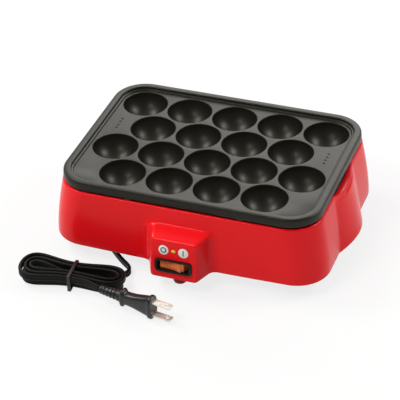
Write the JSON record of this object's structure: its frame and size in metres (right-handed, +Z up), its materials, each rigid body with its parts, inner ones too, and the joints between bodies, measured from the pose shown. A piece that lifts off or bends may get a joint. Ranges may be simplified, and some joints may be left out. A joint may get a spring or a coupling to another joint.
{
  "type": "takoyaki maker",
  "caption": "Countertop maker for round dumplings: a dark cast plate of hemispherical wells lifts off a red moulded body with a rocker switch and a bundled cord.",
  "frame": {"origin": "on the table, under the middle of the object's box without its free cord", "axes": "+X along the long side to the right as seen from the switch, +Y from the switch to the back, +Z up"},
  "size_m": [0.2671, 0.2429, 0.0789],
  "materials": {
    "plate": "satin",
    "red_shell": "gloss",
    "red_base": "satin",
    "rubber": "matte",
    "zinc_sheet": "satin",
    "sheath": "satin",
    "ceramic": "satin",
    "screw_steel": "gloss",
    "black_plastic": "satin",
    "amber": "gloss",
    "copper": "satin",
    "lens": "gloss",
    "disc": "satin",
    "black_mark": "satin",
    "wire": "satin",
    "cord": "satin",
    "blade": "gloss"
  },
  "bodies": {
    "base": {"body_shell": "red_shell", "base_cover": "red_base", "foot_pads": "rubber", "heat_tray": "zinc_sheet", "plate_rests": "ceramic", "heating_element": "sheath", "element_bushes": "ceramic", "element_clips": "zinc_sheet", "element_tabs": "zinc_sheet", "thermostat": "black_plastic", "thermostat_bracket": "zinc_sheet", "bracket_screws": "screw_steel", "thermal_fuse": "ceramic", "fuse_clip": "zinc_sheet", "switch_body": "black_plastic", "switch_terminals": "zinc_sheet", "indicator_lens": "lens", "indicator_lamp": "amber", "mark_discs": "disc", "mark_signs": "black_mark", "internal_leads": "wire", "cord_clamp": "black_plastic", "clamp_screws": "screw_steel", "base_screws": "screw_steel", "tray_screws": "screw_steel", "cord_bushing": "cord", "cord_lead": "cord", "cord_hank": "cord", "cord_tail": "cord", "cord_tie": "black_plastic", "plug_relief": "cord", "plug_body": "cord", "plug_blades": "blade"},
    "plate": {"griddle_plate": "plate"},
    "switch_rocker": {"rocker": "amber"},
    "switch_lever": {"contact_lever": "copper"}
  },
  "joints": [
    {"name": "plate_lift", "type": "slide", "parent": "base", "child": "plate", "axis": [0, 0, 1], "range_m": [0, 0.12]},
    {"name": "rocker_turn", "type": "hinge", "parent": "base", "child": "switch_rocker", "pos_m": [0, -0.0917, 0.02557], "axis": [0, 0.1075, 0.9942], "range_deg": [0, 22]},
    {"name": "lever_turn", "type": "hinge", "parent": "base", "child": "switch_lever", "pos_m": [0, -0.08553, 0.0249], "axis": [0, 0.1075, 0.9942], "range_deg": [-15.4, 0]}
  ],
  "couplings": [
    {"joint": "lever_turn", "follows": "rocker_turn", "ratio": -0.7}
  ]
}
